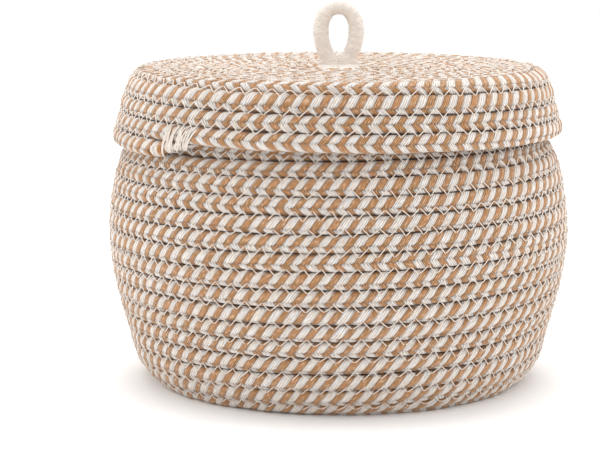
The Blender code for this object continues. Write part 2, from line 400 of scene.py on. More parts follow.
class Coil:
    """A cord wound anticlockwise along an outline, one pitch of the outline in each turn.

    A reach is a distance along the outline, and a length is one along the cord itself. The side
    is 1 where the outline runs out and up, as on the basket, and -1 where it runs out and down.
    The tip cover is the length by which the cord runs on under the binding of its end.
    """

    def __init__(self, outline, first_reach, end_angle, side, tip_cover):
        steps = np.linalg.norm(np.diff(outline, axis=0), axis=1)
        self.outline = outline
        self.along = np.concatenate(([0.0], np.cumsum(steps)))
        self.side = side
        last_step = math.floor(self.along[-1] / turn_pitch * turn_points)
        self.last_reach = last_step * turn_pitch / turn_points
        self.first_angle = end_angle - tau * self.last_reach / turn_pitch
        samples = round((self.last_reach - first_reach) / turn_pitch * turn_samples)
        beyond = tip_cover / (tau * outline[-1, 0]) * turn_pitch
        self.reaches = np.linspace(first_reach, self.last_reach + beyond, samples)
        middles = self.axes(self.reaches)[0]
        runs = np.linalg.norm(np.diff(middles, axis=0), axis=1)
        self.lengths = np.concatenate(([0.0], np.cumsum(runs)))

    def section(self, reach):
        """Radius and height of the outline at each reach."""
        radius = np.interp(reach, self.along, self.outline[:, 0])
        height = np.interp(reach, self.along, self.outline[:, 1])
        return np.stack((radius, height), axis=-1)

    def axes(self, reach, beside=0.0):
        """The middle of the cord at each reach, with the directions out of and along the wall.

        The middle may be taken beside the cord, in the groove to the next turn.
        """
        middle = self.section(reach + beside)
        half_span = turn_pitch / 4
        ahead = self.section(np.minimum(reach + beside + half_span, self.along[-1]))
        run = ahead - self.section(reach + beside - half_span)
        run /= np.linalg.norm(run, axis=-1, keepdims=True)
        angle = self.first_angle + tau * reach / turn_pitch
        radial = np.stack((np.cos(angle), np.sin(angle), np.zeros_like(angle)), axis=-1)
        place = radial * middle[..., :1] + upright * middle[..., 1:]
        out = self.side * (radial * run[..., 1:] - upright * run[..., :1])
        up = self.side * (radial * run[..., :1] + upright * run[..., 1:])
        return place, out, up

    def spreads(self, reach):
        """How much the cord widens up and down for each length out, to meet its neighbours.

        Where the wall bends, the soft cords are pressed together along a slanting plane.
        """
        slope = []
        for turns in (-self.side, 0, self.side):
            near = np.clip(reach + turns * turn_pitch, self.reaches[0], self.last_reach)
            ahead = self.section(np.minimum(near + turn_pitch / 4, self.along[-1]))
            run = ahead - self.section(near - turn_pitch / 4)
            slope.append(np.arctan2(run[..., 1], run[..., 0]))
        upper, lower = slope[2] - slope[1], slope[1] - slope[0]
        return [np.tan(np.clip(bend, -1.0, 1.0) / 2) for bend in (upper, lower)]

    def reach_at(self, length):
        """The reach at each length of the cord."""
        return np.interp(length, self.lengths, self.reaches)

    def length_at(self, reach):
        """The length of the cord at each reach."""
        return np.interp(reach, self.reaches, self.lengths)


def basket_coil():
    """The cord of the base and the wall."""
    return Coil(wall_outline(), base_start_reach, rim_end_angle, 1, 0.0)


def lid_coil():
    """The cord of the lid's top and its skirt."""
    outline = skirt_outline(wall_outline())
    return Coil(outline, lid_start_reach, skirt_end_angle, -1, lid_tip_cover)


def link(name, data):
    """Puts a new object with this mesh or curve into the scene."""
    item = bpy.data.objects.new(name, data)
    bpy.context.scene.collection.objects.link(item)
    return item


def rolled_tube(name, rings, sides, place, measure, slot_of, materials):
    """A flat grid rolled up into a closed tube.

    place gives the points for the ring and side numbers of the grid's corners and the values to
    store with them, measure gives the size of the UV map along and around it, and slot_of gives
    the material of each ring of faces.
    """
    shape = bmesh.new()
    shape.loops.layers.uv.new("cord")
    bmesh.ops.create_grid(shape, x_segments=rings, y_segments=sides, size=0.5, calc_uvs=True)
    mesh = bpy.data.meshes.new(name)
    shape.to_mesh(mesh)
    flat = np.empty(len(mesh.vertices) * 3)
    mesh.vertices.foreach_get("co", flat)
    flat = flat.reshape(-1, 3) + 0.5
    ring = np.rint(flat[:, 0] * rings).astype(int)
    side = np.rint(flat[:, 1] * sides).astype(int)
    points, marks = place(ring, side % sides)
    mesh.vertices.foreach_set("co", points.ravel())
    for mark, values in marks.items():
        mesh.attributes.new(mark, "FLOAT", "POINT").data.foreach_set("value", values)
    layer = mesh.uv_layers["cord"].uv
    spread = np.empty(len(layer) * 2)
    layer.foreach_get("vector", spread)
    spread = spread.reshape(-1, 2)
    first_ring = np.floor(spread[:, 0].reshape(-1, 4).mean(axis=1) * rings).astype(int)
    layer.foreach_set("vector", (spread * measure).ravel())
    mesh.polygons.foreach_set("material_index", slot_of(first_ring).astype(np.int32))
    shape.clear()
    shape.from_mesh(mesh)
    bmesh.ops.remove_doubles(shape, verts=shape.verts, dist=weld_distance)
    bmesh.ops.holes_fill(shape, edges=[edge for edge in shape.edges if edge.is_boundary])
    bmesh.ops.recalc_face_normals(shape, faces=shape.faces)
    shape.to_mesh(mesh)
    shape.free()
    for material in materials:
        mesh.materials.append(material)
    mesh.shade_smooth()
    return link(name, mesh)


def braid_section(cord):
    """A table of the cord's rounded square section: the way around, and the sizes out and up."""
    turned = np.linspace(0.0, tau, section_points)
    power = 2 / cord.squareness
    out = np.sign(np.cos(turned)) * np.abs(np.cos(turned)) ** power * cord.thickness / 2
    up = -np.sign(np.sin(turned)) * np.abs(np.sin(turned)) ** power * cord.height / 2
    around = np.concatenate(([0.0], np.cumsum(np.hypot(np.diff(out), np.diff(up)))))
    return around, out, up


def slow_wave(random, length, periods):
    """A smooth wandering between about -1 and 1, of one wave for each period."""
    waves = [np.sin(tau * (length / period + random.uniform())) for period in periods]
    return np.sum(waves, axis=0) / len(periods) ** 0.5


def make_braid(name, coil, first_band, last_band, seed, materials):
    """A stretch of the braided cord, counted in bands from the cord's beginning."""
    cord = bpy.context.scene.basket_cord
    random = np.random.default_rng(seed)
    around, out_size, up_size = braid_section(cord)
    column = around[-1] / 4
    in_two = (braid_corners + column_half) % 2
    backward = in_two >= 1
    run = (np.where(backward, in_two - 1, in_two) - column_half) * column
    shift = np.where(backward, run, -run) * cord.lean
    shift = shift - np.where(backward, cord.tuck, 0.0)
    crease = np.where(np.abs(run) > (column_half - corner_slack) * column, cord.crease, 0.0)
    rings = (last_band - first_band) * band_rings
    bands = np.arange(math.ceil(coil.lengths[-1] / cord.pair) * 2 + 3)
    starts = bands // 2 * cord.pair + bands % 2 * cord.white_width
    strays = starts + random.normal(0.0, cord.wander, (4, len(bands)))
    in_column = ((braid_corners + 0.5) // 1).astype(int)
    bulges = random.normal(0.0, cord.wander * bulge_share, len(bands))
    slow = np.linspace(0.0, coil.lengths[-1], swell_points)
    twists = cord.twist + cord.twist_wander * slow_wave(random, slow, twist_swells)
    wobbles = wobble_share * cord.wander * slow_wave(random, slow, wobble_swells)

    def place(ring, side):
        """The braid's points at these ring and side numbers, and the values that paint shade on them.
        """
        band = first_band + ring / band_rings
        length = np.choose(in_column[side], [np.interp(band, bands, line) for line in strays])
        length = length + shift[side]
        length = np.clip(length, 0.0, coil.lengths[-1])
        reach = coil.reach_at(length)
        middle, out, up = coil.axes(reach)
        spread_up, spread_down = coil.spreads(reach)
        turned = (braid_corners[side] * column - np.interp(length, slow, twists)) % around[-1]
        part = (ring % band_rings) / band_rings
        valley = cord.band_valley * np.abs(2 * part - 1) ** valley_power + crease[side]
        size = 1 - (valley - bulges[np.floor(band).astype(int)]) / (cord.thickness / 2)
        wobble = np.interp(length, slow, wobbles)
        outward = np.interp(turned, around, out_size) * size
        upward = np.interp(turned, around, up_size) * size ** flattening
        spread = np.where(upward > 0, spread_up, spread_down)
        upward = upward * (1 + spread * outward / (cord.height / 2))
        point = middle + out * (outward + wobble)[:, None] + up * (upward + wobble / 2)[:, None]
        point[:, 2] = np.maximum(point[:, 2], floor_clearance)
        # Marks for painted shade: band edges, the groove to a neighbour, and the column corners
        edge = np.abs(2 * part - 1) ** edge_power
        onward = np.where(upward * coil.side > 0, coil.last_reach - reach, reach - coil.reaches[0])
        beside = np.clip((onward / turn_pitch - 1) / shade_onset, 0.0, 1.0)
        groove = (1 - np.abs(outward) / (cord.thickness / 2) - np.maximum(spread, 0.0)) * beside
        tip = (crease[side] > 0).astype(float)
        return point, {"edge": edge, "groove": groove, "end": edge * tip, "tip": tip}

    def slot_of(ring):
        """White yarn in the even bands and tan yarn in the odd ones."""
        return (first_band + ring // band_rings) % 2

    measure = ((last_band - first_band) / 2 * cord.pair, around[-1])
    braid = rolled_tube(name, rings, len(braid_corners), place, measure, slot_of, materials)
    return braid


def make_seam(name, coil, first_reach, last_reach, face, drop, material):
    """The zigzag thread over a groove, on the outer face (1) or the inner one (-1) of the cords.

    Its middle runs a drop below the groove, and its even stitches go in above its odd ones.
    """
    seam = bpy.context.scene.basket_seam
    # Each seam has a seed from the length of its name and its face
    random = np.random.default_rng(len(name) + face)
    lengths = coil.length_at(np.array((first_reach, last_reach)))
    first, last = np.ceil(lengths / seam.stitch).astype(int) * 2
    holes = np.arange(first, last + 1)
    knots = (holes // 2 + holes % 2 * seam.steep) * seam.stitch
    swings = 1 - 2 * (holes % 2)
    sizes = seam.reach + seam.reach_wander * slow_wave(random, knots, reach_swells)
    drops = drop + seam.drop_wander * slow_wave(random, knots, drop_swells)
    knots = knots + random.normal(0.0, seam.stray, len(holes))
    rows = swings * sizes - drops + random.normal(0.0, seam.stray, len(holes))
    count = np.arange(first, last, 1 / stroke_points)
    middle, out, up = coil.axes(coil.reach_at(np.interp(count, holes, knots)), turn_pitch / 2)
    across = np.interp(count, holes, rows)
    level = seam.level - seam.dip * np.abs((count % 1) * 2 - 1) ** dip_power
    points = middle + out * (face * level)[:, None] + up * across[:, None]
    return make_thread(name, points, seam.thread, material)


def make_thread(name, points, thickness, material):
    """A round thread through these points, and no lower than the floor."""
    points[:, 2] = np.maximum(points[:, 2], thickness / 2)
    curve = bpy.data.curves.new(name, "CURVE")
    curve.dimensions = "3D"
    curve.bevel_depth = thickness / 2
    curve.bevel_resolution = 1
    curve.use_fill_caps = True
    spline = curve.splines.new("POLY")
    spline.points.add(len(points) - 1)
    spline.points.foreach_set("co", np.column_stack((points, np.ones(len(points)))).ravel())
    curve.materials.append(material)
    return as_mesh(link(name, curve))


def make_stitching(name, coil, lengths, strokes, slant, seed, depth_at, material):
    """Close stitches up and down over the outer face of the cord, between two lengths of it.

    They go in a slant further along at the top than at the bottom, and depth_at gives how far
    below the cord they reach, round what is sewn on there.
    """
    seam = bpy.context.scene.basket_seam
    random = np.random.default_rng(seed)
    around, out_size, up_size = braid_section(bpy.context.scene.basket_cord)
    column = around[-1] / 4
    holes = np.arange(strokes + 1)
    ends = np.where(holes % 2, stitch_turns[1], stitch_turns[0])
    ends = ends + random.normal(0.0, stitch_turn_wander, len(holes))
    places = np.linspace(*lengths, len(holes)) + random.normal(0.0, stitch_place_wander, len(holes))
    places = places - slant * (holes % 2 - 0.5)
    count = np.linspace(0.0, strokes, strokes * stitch_points + 1)
    turned = np.interp(count, holes, ends) * column
    length = np.interp(count, holes, places)
    middle, out, up = coil.axes(coil.reach_at(length))
    swell = 1 + seam.thread / 2 / (turn_pitch / 2) * (1 + 0.5 * np.sin(count * stitch_swell_rate))
    across = np.interp(turned % around[-1], around, up_size) * swell
    across = np.where(across < 0, across * (1 + depth_at(length) / (turn_pitch / 2)), across)
    outward = np.interp(turned % around[-1], around, out_size) * swell
    points = middle + out * outward[:, None] + up * across[:, None]
    return make_thread(name, points, seam.thread, material)


def as_mesh(item):
    """Turns a curve object into a mesh object with closed ends."""
    finished = item.evaluated_get(bpy.context.evaluated_depsgraph_get())
    mesh = bpy.data.meshes.new_from_object(finished)
    welded = bmesh.new()
    welded.from_mesh(mesh)
    bmesh.ops.remove_doubles(welded, verts=welded.verts, dist=weld_distance)
    bmesh.ops.recalc_face_normals(welded, faces=welded.faces)
    welded.to_mesh(mesh)
    welded.free()
    name = item.name
    bpy.data.objects.remove(item, do_unlink=True)
    mesh.shade_smooth()
    return link(name, mesh)


def add_node(tree, kind, output, inputs, **settings):
    """Adds a node with its settings and inputs, and gives the output of this name or number.

    Each input is named or numbered, and is a value or the output of another node.
    """
    node = tree.nodes.new(kind)
    for name, value in settings.items():
        setattr(node, name, value)
    for name, value in inputs.items():
        socket = node.inputs[name]
        if isinstance(value, bpy.types.NodeSocket):
            tree.links.new(value, socket)
        elif socket.type == "RGBA":
            socket.default_value = (*value, 1.0)
        else:
            socket.default_value = value
    return node.outputs[output]


def new_material(name):
    """An empty material with a Principled shader, and its node tree."""
    material = bpy.data.materials.new(name)
    material.use_nodes = True
    tree = material.node_tree
    return material, tree, tree.nodes["Principled BSDF"]


def yarn_material(name, tones, fleck, shade_share, groove_start, groove_most):
    """Cotton yarn, spun, dyed and braided in flat strands of ends that lie side by side.

    It is matte, and its fuzz lightens it a little where it turns away. The eye sees the ends as
    fine light and dark lines along each strand, partly random fibre tone and partly painted shade
    that follows their relief, a tone that drifts from one to the next, and painted brown shade
    where strands dive under one another and where two turns are pressed together.
    """
    material, tree, shader = new_material(name)
    shader.inputs["Roughness"].default_value = 0.92
    shader.inputs["IOR"].default_value = 1.45
    shader.inputs["Specular IOR Level"].default_value = 0.2
    shader.inputs["Sheen Weight"].default_value = 0.4
    shader.inputs["Sheen Roughness"].default_value = 0.5
    shader.inputs["Sheen Tint"].default_value = (*linear("FFEEDF"), 1.0)
    metres = add_node(tree, "ShaderNodeUVMap", "UV", {}, uv_map="cord")
    # Real ends are about 0.5 mm wide, too fine for the render, and are drawn nearly twice as wide
    end_width = 0.00094
    end_length = 0.0050
    # The gaps that open between the ends where a strand dives are drawn coarser too
    gap_width = 0.00135
    gap_length = 0.0040
    # Tufts of the other yarn, and the stretches over which the dye took differently
    fleck_width = 0.0007
    fleck_length = 0.0018
    blotch_width = 0.0024
    blotch_length = 0.0040
    ends, gap_places, grains, blotches = [
        add_node(
            tree, "ShaderNodeMapping", "Vector",
            {"Vector": metres, "Scale": (1 / width, 1 / length, 1.0)},
        )
        for width, length in (
            (end_width, end_length), (gap_width, gap_length), (fleck_width, fleck_length),
            (blotch_width, blotch_length),
        )
    ]
    fibres = add_node(
        tree, "ShaderNodeTexNoise", "Fac",
        {"Vector": ends, "Scale": 1.7, "Detail": 3.0, "Roughness": 0.7},
    )
    strands = add_node(
        tree, "ShaderNodeTexWave", "Fac",
        {"Vector": ends, "Scale": one_wave, "Distortion": 1.5, "Detail": 1.0},
        wave_type="BANDS", bands_direction="X",
    )
    relief = add_node(
        tree, "ShaderNodeMath", 0, {0: strands, 1: 0.35, 2: fibres}, operation="MULTIPLY_ADD"
    )
    drift = add_node(
        tree, "ShaderNodeTexNoise", "Fac", {"Vector": blotches, "Scale": 1.0, "Detail": 1.0}
    )
    tone = add_node(
        tree, "ShaderNodeMapRange", "Result", {"Value": drift, "From Min": 0.35, "From Max": 0.65}
    )
    # Painted shade: a darker copy of the tones shows where the strands' relief is low
    lit_tone, shaded_tone = [
        add_node(
            tree, "ShaderNodeMix", mixed,
            {
                mix_share: tone,
                mix_first: [channel * share for channel in tones[0]],
                mix_second: [channel * share for channel in tones[1]],
            },
            data_type="RGBA",
        )
        for share in (1.0, shade_share)
    ]
    lit = add_node(
        tree, "ShaderNodeMapRange", "Result", {"Value": relief, "From Min": 0.44, "From Max": 0.80}
    )
    yarn = add_node(
        tree, "ShaderNodeMix", mixed, {mix_share: lit, mix_first: shaded_tone, mix_second: lit_tone},
        data_type="RGBA",
    )
    tufts = add_node(
        tree, "ShaderNodeTexNoise", "Fac", {"Vector": grains, "Scale": 1.0, "Detail": 2.0}
    )
    flecked = add_node(
        tree, "ShaderNodeMapRange", "Result",
        {"Value": tufts, "From Min": 0.52, "From Max": 0.68, "To Max": 0.6},
    )
    yarn = add_node(
        tree, "ShaderNodeMix", mixed, {mix_share: flecked, mix_first: yarn, mix_second: fleck},
        data_type="RGBA",
    )
    gaps = add_node(
        tree, "ShaderNodeTexWave", "Fac",
        {"Vector": gap_places, "Scale": one_wave, "Distortion": 1.2, "Detail": 1.0},
        wave_type="BANDS", bands_direction="X",
    )
    edge, groove, end, tip = [
        add_node(tree, "ShaderNodeAttribute", "Fac", {}, attribute_name=mark)
        for mark in ("edge", "groove", "end", "tip")
    ]
    wedge = add_node(
        tree, "ShaderNodeMath", 0, {0: tip, 1: 0.6, 2: gaps}, operation="MULTIPLY_ADD"
    )
    # Painted brown shade at a band's edges, in the grooves, where strands dive and between
    # their ends
    most = 0.0
    for value, low, high, full in (
        (edge, 0.5, 1.0, 0.40),
        (groove, groove_start, 0.56, groove_most),
        (end, 0.35, 1.0, 0.75),
        (wedge, 1.15, 1.50, 0.60),
    ):
        shade = add_node(
            tree, "ShaderNodeMapRange", "Result",
            {"Value": value, "From Min": low, "From Max": high, "To Max": full},
        )
        most = add_node(tree, "ShaderNodeMath", 0, {0: most, 1: shade}, operation="MAXIMUM")
    painted_shade_brown = linear("301202")
    shaded = add_node(
        tree, "ShaderNodeMix", mixed, {mix_share: most, mix_first: yarn, mix_second: painted_shade_brown},
        data_type="RGBA",
    )
    tree.links.new(shaded, shader.inputs["Base Color"])
    normal = add_node(
        tree, "ShaderNodeBump", "Normal", {"Height": relief, "Strength": 0.8, "Distance": 0.0005}
    )
    tree.links.new(normal, shader.inputs["Normal"])
    return material


def thread_material():
    """Cotton sewing thread, twisted hard and drawn tight.

    The eye sees a fine pale matte line that is a little darker here and there.
    """
    seam = bpy.context.scene.basket_seam
    material, tree, shader = new_material("sewing_thread")
    shader.inputs["Roughness"].default_value = 0.8
    shader.inputs["Sheen Weight"].default_value = 0.3
    place = add_node(tree, "ShaderNodeTexCoord", "Object", {})
    # Its tone changes about once in each 1.1 mm
    changes_per_metre = 900.0
    grain = add_node(
        tree, "ShaderNodeTexNoise", "Fac",
        {"Vector": place, "Scale": changes_per_metre, "Detail": 2.0},
    )
    colour = add_node(
        tree, "ShaderNodeMix", mixed,
        {mix_share: grain, mix_first: [c * 0.8 for c in seam.colour], mix_second: seam.colour},
        data_type="RGBA",
    )
    tree.links.new(colour, shader.inputs["Base Color"])
    normal = add_node(
        tree, "ShaderNodeBump", "Normal", {"Height": grain, "Strength": 0.4, "Distance": 0.0001}
    )
    tree.links.new(normal, shader.inputs["Normal"])
    return material


def cotton_material():
    """Soft cotton yarn, barely spun, wound close around a core.

    The eye sees a cream, matte, downy cord with a faint line of painted shade between its wraps.
    """
    loop = bpy.context.scene.basket_loop
    material, tree, shader = new_material("wound_cotton")
    shader.inputs["Roughness"].default_value = 0.95
    shader.inputs["Sheen Weight"].default_value = 0.15
    shader.inputs["Sheen Roughness"].default_value = 0.6
    metres = add_node(tree, "ShaderNodeUVMap", "UV", {}, uv_map="cord")
    # Cotton fibres are about 0.02 mm wide, and are drawn as tufts of them, 0.3 mm wide
    tuft_width = 0.0003
    tuft_length = 0.0030
    tufts = add_node(
        tree, "ShaderNodeMapping", "Vector",
        {"Vector": metres, "Scale": (1 / tuft_width, 1 / tuft_length, 1.0)},
    )
    fibres = add_node(
        tree, "ShaderNodeTexNoise", "Fac", {"Vector": tufts, "Scale": 1.0, "Detail": 2.0}
    )
    wraps = add_node(tree, "ShaderNodeAttribute", "Fac", {}, attribute_name="ridge")
    ridges = add_node(
        tree, "ShaderNodeMapRange", "Result", {"Value": wraps, "From Max": 0.6, "To Min": 0.75}
    )
    # Painted shade between the wraps darkens the colour along with the random fibre tone
    grain = add_node(tree, "ShaderNodeMath", 0, {0: fibres, 1: ridges}, operation="MULTIPLY")
    lit = add_node(
        tree, "ShaderNodeMapRange", "Result", {"Value": grain, "From Min": 0.25, "From Max": 0.6}
    )
    colour = add_node(
        tree, "ShaderNodeMix", mixed,
        {mix_share: lit, mix_first: [c * 0.74 for c in loop.colour], mix_second: loop.colour},
        data_type="RGBA",
    )
    tree.links.new(colour, shader.inputs["Base Color"])
    normal = add_node(
        tree, "ShaderNodeBump", "Normal", {"Height": grain, "Strength": 0.5, "Distance": 0.0002}
    )
    tree.links.new(normal, shader.inputs["Normal"])
    return material


def floor_material():
    """White paper backdrop, rolled out flat: dull, with no gloss, so that only the shadow shows."""
    material, tree, shader = new_material("white_paper")
    shader.inputs["Base Color"].default_value = (*linear("FFFFFF"), 1.0)
    shader.inputs["Roughness"].default_value = 1.0
    shader.inputs["Specular IOR Level"].default_value = 0.0
    return material


def shared(name, make, *values):
    """The material of this name, made the first time that it is asked for."""
    return bpy.data.materials.get(name) or make(*values)


def braid_materials():
    """The white and the tan yarn, each with two tones and with flecks of the other."""
    cord = bpy.context.scene.basket_cord
    white_tones = (list(cord.white), linear("F1E7DC"))
    tan_tones = (list(cord.tan), linear("B8895A"))
    return (
        shared(
            "white_cotton_yarn", yarn_material,
            "white_cotton_yarn", white_tones, linear("CDB098"), 0.50, 0.36, 0.72,
        ),
        shared(
            "tan_cotton_yarn", yarn_material,
            "tan_cotton_yarn", tan_tones, linear("E6CDB4"), 0.42, 0.10, 1.0,
        ),
    )


def braid_stretches(coil, reaches):
    """The cord's bands at which its pieces begin and end, for reaches along the outline."""
    pair = bpy.context.scene.basket_cord.pair
    return [round(length / pair) * 2 for length in coil.length_at(np.array(reaches))]


class BASKET_OT_base(bpy.types.Operator):
    """Winds the basket's base"""

    bl_idname = "basket.base"
    bl_label = "Base"

    def execute(self, context):
        coil = basket_coil()
        split = base_split(coil)
        bands = braid_stretches(coil, (base_start_reach, split))
        braid = make_braid("base_braid", coil, *bands, seeds["basket"], braid_materials())
        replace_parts(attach(braid, "basket"), "base_coil")
        thread = shared("sewing_thread", thread_material)
        for name, face in (("base_seam_outside", 1), ("base_seam_inside", -1)):
            seam = make_seam(name, coil, base_start_reach, split, face, base_seam_drop, thread)
            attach(seam, "basket")
        heart = make_wound_cord(
            "base_heart", base_heart_route(coil), lambda middle: base_heart_radii, strand_wrap,
            upright, seeds["base_heart"], braid_materials(), banded,
        )
        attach(heart, "basket")
        return {"FINISHED"}


def banded(length):
    """Where a cord shows its tan yarn, in bands as wide as the braid's."""
    cord = bpy.context.scene.basket_cord
    return length % cord.pair > cord.white_width


def base_heart_route(coil):
    """The middle of the cord's first end, bent back to fill the hole that its first turn leaves."""
    angle = coil.first_angle + tau * base_start_reach / turn_pitch
    out = np.array((math.cos(angle), math.sin(angle), 0.0))
    onward = np.array((-math.sin(angle), math.cos(angle), 0.0))
    bend = base_heart_bend
    turned = np.linspace(0.0, math.pi, 40)[:, None]
    arc = out * (base_start_reach - bend) + bend * (out * np.cos(turned) - onward * np.sin(turned))
    lead = arc[0] + onward * np.linspace(base_heart_lead, 0.0, 5, endpoint=False)[:, None]
    last = arc[-1] + onward * np.linspace(*base_heart_tip, 8)[:, None]
    return np.vstack((lead, arc, last)) + (0.0, 0.0, base_height)


def base_split(coil):
    """The reach at which the basket's cord leaves the floor."""
    return coil.along[np.argmax(coil.outline[:, 1] > cord_corner_radius)]


def lid_split(coil):
    """The reach at which the lid's cord turns down."""
    return coil.along[np.argmax(coil.outline[:, 1] < lid_height - weld_distance)]


class BASKET_OT_wall(bpy.types.Operator):
    """Winds the basket's wall"""

    bl_idname = "basket.wall"
    bl_label = "Wall"

    def execute(self, context):
        coil = basket_coil()
        parts = ("lower", "middle", "upper")
        reaches = np.linspace(base_split(coil), coil.last_reach, len(parts) + 1)
        bands = braid_stretches(coil, reaches)
        thread = shared("sewing_thread", thread_material)
        for index, part in enumerate(parts):
            braid = make_braid(
                f"wall_braid_{part}", coil, bands[index], bands[index + 1], seeds["basket"],
                braid_materials(),
            )
            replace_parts(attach(braid, "basket"), "wall_coil")
            last = min(reaches[index + 1], coil.last_reach - turn_pitch)
            for side, face in (("outside", 1), ("inside", -1)):
                name = f"wall_seam_{part}_{side}"
                seam = make_seam(name, coil, reaches[index], last, face, wall_seam_drop, thread)
                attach(seam, "basket")
        return {"FINISHED"}


class BASKET_OT_lid(bpy.types.Operator):
    """Winds the lid's top and its skirt"""

    bl_idname = "basket.lid"
    bl_label = "Lid"

    def execute(self, context):
        coil = lid_coil()
        reaches = (lid_start_reach, lid_split(coil), coil.reaches[-1])
        bands = braid_stretches(coil, reaches)
        thread = shared("sewing_thread", thread_material)
        for index, part in enumerate(("lid_top", "lid_skirt")):
            braid = make_braid(
                f"{part}_braid", coil, bands[index], bands[index + 1], seeds["lid"],
                braid_materials(),
            )
            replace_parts(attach(braid, "lid"), f"{part}_coil")
            last = min(reaches[index + 1], coil.last_reach - turn_pitch)
            for side, face in (("outside", 1), ("inside", -1)):
                name = f"{part}_seam_{side}"
                seam = make_seam(name, coil, reaches[index], last, face, lid_seam_drop, thread)
                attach(seam, "lid")
        heart = make_wound_cord(
            "lid_heart", lid_heart_route(coil), lid_heart_radii, strand_wrap, upright,
            seeds["lid_heart"], braid_materials(), banded,
        )
        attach(heart, "lid")
        return {"FINISHED"}


def lid_heart_route(coil):
    """The middle of the cord's first end, led back around the loop's legs to fill the hole."""
    start = coil.first_angle + tau * lid_start_reach / turn_pitch
    back = np.linspace(*lid_heart_sweep, lid_heart_points)
    reach = lid_heart_radius - turn_pitch / 2 * back / tau
    turned = start - back
    height = np.full(lid_heart_points, lid_height)
    return np.column_stack((reach * np.cos(turned), reach * np.sin(turned), height))


def lid_heart_radii(middle):
    """The radii of that end, which leave the hole's middle to the loop."""
    across = np.linalg.norm(middle[:, :2], axis=1) - lid_heart_hole
    across = np.clip(across, *lid_heart_half_widths)
    return across, lid_heart_half_height + lid_heart_rise * across


def loop_route():
    """The middle of the loop's cord, from under the lid on the left, over, and down again."""
    loop = bpy.context.scene.basket_loop
    rise = loop.height - loop_bend_height - loop.thickness / 2
    base = np.array((0.0, 0.0, lid_top + loop_bend_height))
    foot = base + (-loop.spacing / 2, 0.0, 0.0)
    side = base + (-loop_side_reach, 0.0, loop_side_share * rise)
    shoulder = base + (-loop_shoulder_reach, 0.0, rise)
    top = base + (0.0, 0.0, rise)
    t = np.linspace(0.0, 1.0, loop_points)[:, None]
    half = (
        (1 - t) ** 3 * foot + 3 * t * (1 - t) ** 2 * side
        + 3 * t ** 2 * (1 - t) * shoulder + t ** 3 * top
    )
    tail = foot - (0.0, 0.0, loop_tail_drop)
    half = np.vstack((np.linspace(tail, foot, loop_points // 2, endpoint=False), half))
    route = np.vstack((half, (half * (-1.0, 1.0, 1.0))[-2::-1]))
    for _ in range(loop_bend_passes):
        route[1:-1] = (route[:-2] + 2 * route[1:-1] + route[2:]) / 4
    return route


def loop_radii(middle):
    """The loop's radii: the soft legs are pressed together and fill the hole in the lid."""
    loop = bpy.context.scene.basket_loop
    above = middle[:, 2] - lid_top
    foot, plug = [
        (1 - np.clip((above - start) / span, 0.0, 1.0)) ** 2
        for start, span in (foot_change, plug_change)
    ]
    under = np.clip((tail_change[0] - above) / tail_change[1], 0.0, 1.0)
    radius = loop.thickness / 2
    return radius + loop.foot * (foot - under), radius + loop.plug * (plug - under)


def knot_route():
    """The middle of the knot's cord, which crosses itself three times."""
    t = np.linspace(0.0, tau, knot_points)
    across = knot_size * (np.sin(t) + 2 * np.sin(2 * t))
    deep = knot_size * (np.cos(t) - 2 * np.cos(2 * t)) * knot_depth_share
    high = knot_half_height * np.sin(3 * t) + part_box("handle_knot")[0].z + knot_middle
    return np.stack((across, deep, high), axis=-1)


def along_route(route, along, length):
    """The points of a route at each length along it."""
    return np.stack([np.interp(length, along, route[:, axis]) for axis in range(3)], axis=-1)


def make_wound_cord(name, route, radii_at, wrap, beside, seed, materials, slot_at=np.zeros_like):
    """A cord wound with yarn along a route, with a fine ridge for each wrap.

    radii_at gives the cord's two radii at each point, across the route and beside it, beside is
    a direction that is square to the whole route, and slot_at gives the yarn's material at each
    length along the route.
    """
    runs = np.linalg.norm(np.diff(route, axis=0), axis=1)
    along = np.concatenate(([0.0], np.cumsum(runs)))
    rings = round(along[-1] / wrap) * wrap_rings
    random = np.random.default_rng(seed)
    lumps = slow_wave(random, np.linspace(0.0, along[-1], rings + 1), lump_swells)
    tightness = random.normal(1.0, wrap_wander, rings // wrap_rings + 2)

    def place(ring, side):
        """The cord's points at these ring and side numbers, and how far out on a wrap they are."""
        length = along[-1] * ring / rings
        middle = along_route(route, along, length)
        step = wrap / 2
        ahead = along_route(route, along, np.minimum(length + step, along[-1]))
        forward = ahead - along_route(route, along, np.maximum(length - step, 0.0))
        across = np.cross(forward, beside)
        across /= np.linalg.norm(across, axis=-1, keepdims=True)
        wound = ring / wrap_rings + side / wound_sides
        ridge = np.cos(tau * wound) * tightness[np.floor(wound).astype(int)]
        relief = wrap * wrap_depth_share * (ridge - 1) + lump_height * lumps[ring]
        radius_across, radius_beside = radii_at(middle)
        turned = tau * side / wound_sides
        point = middle + across * ((radius_across + relief) * np.cos(turned))[:, None]
        point = point + beside * ((radius_beside + relief) * np.sin(turned))[:, None]
        return point, {"ridge": (1 + ridge) / 2}

    def slot_of(ring):
        """The yarn of each ring of faces."""
        return slot_at(along[-1] * ring / rings)

    measure = (along[-1], wound_girth)
    return rolled_tube(name, rings, wound_sides, place, measure, slot_of, materials)


class BASKET_OT_loop(bpy.types.Operator):
    """Makes the cotton loop on the lid and its knot"""

    bl_idname = "basket.loop"
    bl_label = "Loop"

    def execute(self, context):
        loop = context.scene.basket_loop
        cotton = (shared("wound_cotton", cotton_material),)
        cord = make_wound_cord(
            "loop_cord", loop_route(), loop_radii, loop.wrap, aside, seeds["loop"], cotton
        )
        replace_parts(cord, "handle_loop")
        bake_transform(cord)
        radius = loop.thickness / 2 - knot_slack
        tied = make_wound_cord(
            "loop_knot", knot_route(), lambda middle: (radius, radius), loop.wrap, upright,
            seeds["knot"], cotton,
        )
        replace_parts(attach(tied, "lid"), "handle_knot")
        return {"FINISHED"}


